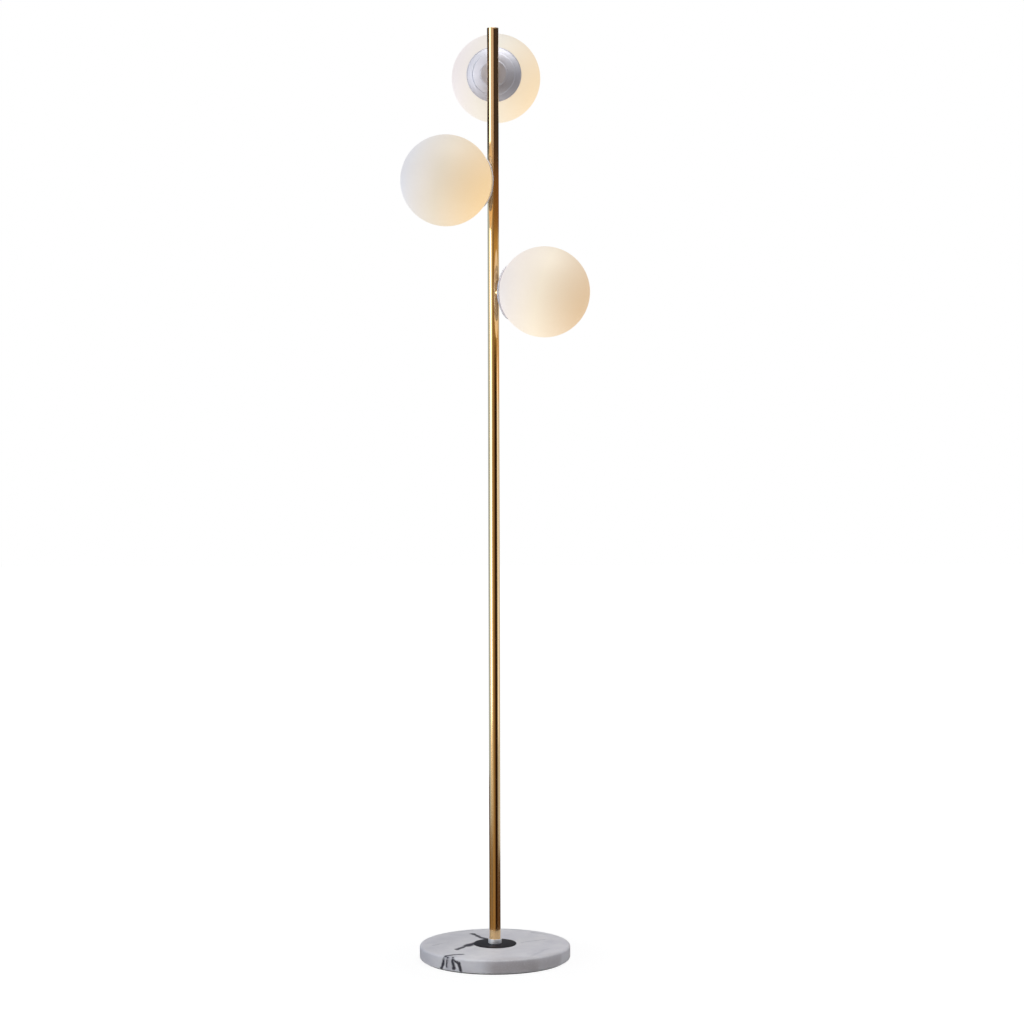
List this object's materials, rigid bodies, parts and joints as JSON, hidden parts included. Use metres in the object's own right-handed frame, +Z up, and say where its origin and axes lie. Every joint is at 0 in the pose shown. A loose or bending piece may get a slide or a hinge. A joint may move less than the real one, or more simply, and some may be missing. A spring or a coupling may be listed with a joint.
{
  "type": "globe floor lamp",
  "caption": "Tall floor lamp: opal glass globes, each on a spun cup, step round a slim brass pole that stands on a round marble base; globes unscrew and pin-base bulbs pull out.",
  "frame": {"origin": "on the floor, at the centre of the base and under the pole's axis", "axes": "+Z up along the pole, -Y towards the front of the lamp, +X to the right"},
  "size_m": [0.3119, 0.3051, 1.562],
  "materials": {
    "opal_glass": "blown opal glass, polished outside",
    "spun_metal": "spun aluminium, fine turned lines, clear lacquer",
    "antique_brass": "antiqued brass tube, polished and lacquered",
    "turned_brass": "turned brass, bare",
    "polished_nickel": "turned, polished nickel plate",
    "black_steel": "satin black powder coat",
    "plated_steel": "bright zinc plate",
    "white_marble": "honed and waxed white marble with dark grey veins",
    "pad_felt": "pressed wool felt",
    "soft_black": "moulded black rubber",
    "clear_silicone": "moulded translucent silicone",
    "white_enamel": "white enamel over steel",
    "socket_ceramic": "unglazed white steatite",
    "contact_strip": "nickel plated spring strip",
    "bulb_ceramic": "white ceramic, matt",
    "bulb_frost": "frosted translucent cover",
    "lead_insulation": "white silicone insulation",
    "cap_nylon": "natural nylon"
  },
  "bodies": {
    "root": {"arm_inserts": "turned_brass", "base_stud": "plated_steel", "clamp_nut": "plated_steel", "clamp_washer": "plated_steel", "cord_grommet": "soft_black", "felt_pad": "pad_felt", "foot_collar": "polished_nickel", "foot_insert": "turned_brass", "foot_plate": "black_steel", "holder_cup_low": "spun_metal", "holder_cup_middle": "spun_metal", "holder_cup_top": "spun_metal", "lead_low": "lead_insulation", "lead_middle": "lead_insulation", "lead_top": "lead_insulation", "lower_seam_plug": "turned_brass", "lower_seam_socket": "turned_brass", "lower_tube": "antique_brass", "marble_base": "white_marble", "middle_tube": "antique_brass", "pin_socket_low": "socket_ceramic", "pin_socket_middle": "socket_ceramic", "pin_socket_top": "socket_ceramic", "pole_cap": "antique_brass", "socket_bracket_low": "plated_steel", "socket_bracket_middle": "plated_steel", "socket_bracket_top": "plated_steel", "socket_contacts": "contact_strip", "socket_screws": "plated_steel", "splice_caps": "cap_nylon", "spring_washer": "plated_steel", "stem_nipples": "plated_steel", "stem_nuts": "plated_steel", "stem_spacer_low": "antique_brass", "stem_spacer_middle": "antique_brass", "stem_spacer_top": "antique_brass", "stem_washers": "plated_steel", "threaded_sleeve_low": "white_enamel", "threaded_sleeve_middle": "white_enamel", "threaded_sleeve_top": "white_enamel", "upper_seam_plug": "turned_brass", "upper_seam_socket": "turned_brass", "upper_tube": "antique_brass"},
    "gasket_low": {"gasket_low": "clear_silicone"},
    "globe_low": {"glass_globe_low": "opal_glass"},
    "bulb_low": {"bulb_base_low": "bulb_ceramic", "bulb_cover_low": "bulb_frost", "bulb_pins_low": "plated_steel"},
    "gasket_middle": {"gasket_middle": "clear_silicone"},
    "globe_middle": {"glass_globe_middle": "opal_glass"},
    "bulb_middle": {"bulb_base_middle": "bulb_ceramic", "bulb_cover_middle": "bulb_frost", "bulb_pins_middle": "plated_steel"},
    "gasket_top": {"gasket_top": "clear_silicone"},
    "globe_top": {"glass_globe_top": "opal_glass"},
    "bulb_top": {"bulb_base_top": "bulb_ceramic", "bulb_cover_top": "bulb_frost", "bulb_pins_top": "plated_steel"}
  },
  "joints": [
    {"name": "globe_low_travel", "type": "slide", "parent": "root", "child": "gasket_low", "axis": [0.8712, -0.4909, 0], "range_m": [0, 0.00901]},
    {"name": "globe_low_turn", "type": "hinge", "parent": "gasket_low", "child": "globe_low", "pos_m": [0, 0, 1.122], "axis": [0.8712, -0.4909, 0], "range_deg": [0, 1080]},
    {"name": "bulb_low_pull", "type": "slide", "parent": "root", "child": "bulb_low", "axis": [0.8712, -0.4909, 0], "range_m": [0, 0.009]},
    {"name": "globe_middle_travel", "type": "slide", "parent": "root", "child": "gasket_middle", "axis": [-0.7986, -0.6018, 0], "range_m": [0, 0.00901]},
    {"name": "globe_middle_turn", "type": "hinge", "parent": "gasket_middle", "child": "globe_middle", "pos_m": [0, 0, 1.3045], "axis": [-0.7986, -0.6018, 0], "range_deg": [0, 1080]},
    {"name": "bulb_middle_pull", "type": "slide", "parent": "root", "child": "bulb_middle", "axis": [-0.7986, -0.6018, 0], "range_m": [0, 0.009]},
    {"name": "globe_top_travel", "type": "slide", "parent": "root", "child": "gasket_top", "axis": [0.0558, 0.9984, 0], "range_m": [0, 0.00901]},
    {"name": "globe_top_turn", "type": "hinge", "parent": "gasket_top", "child": "globe_top", "pos_m": [0, 0, 1.487], "axis": [0.0558, 0.9984, 0], "range_deg": [0, 1080]},
    {"name": "bulb_top_pull", "type": "slide", "parent": "root", "child": "bulb_top", "axis": [0.0558, 0.9984, 0], "range_m": [0, 0.009]}
  ],
  "couplings": [
    {"joint": "globe_low_travel", "follows": "globe_low_turn", "m_per_rad": 0.00047746},
    {"joint": "globe_middle_travel", "follows": "globe_middle_turn", "m_per_rad": 0.00047746},
    {"joint": "globe_top_travel", "follows": "globe_top_turn", "m_per_rad": 0.00047746}
  ]
}
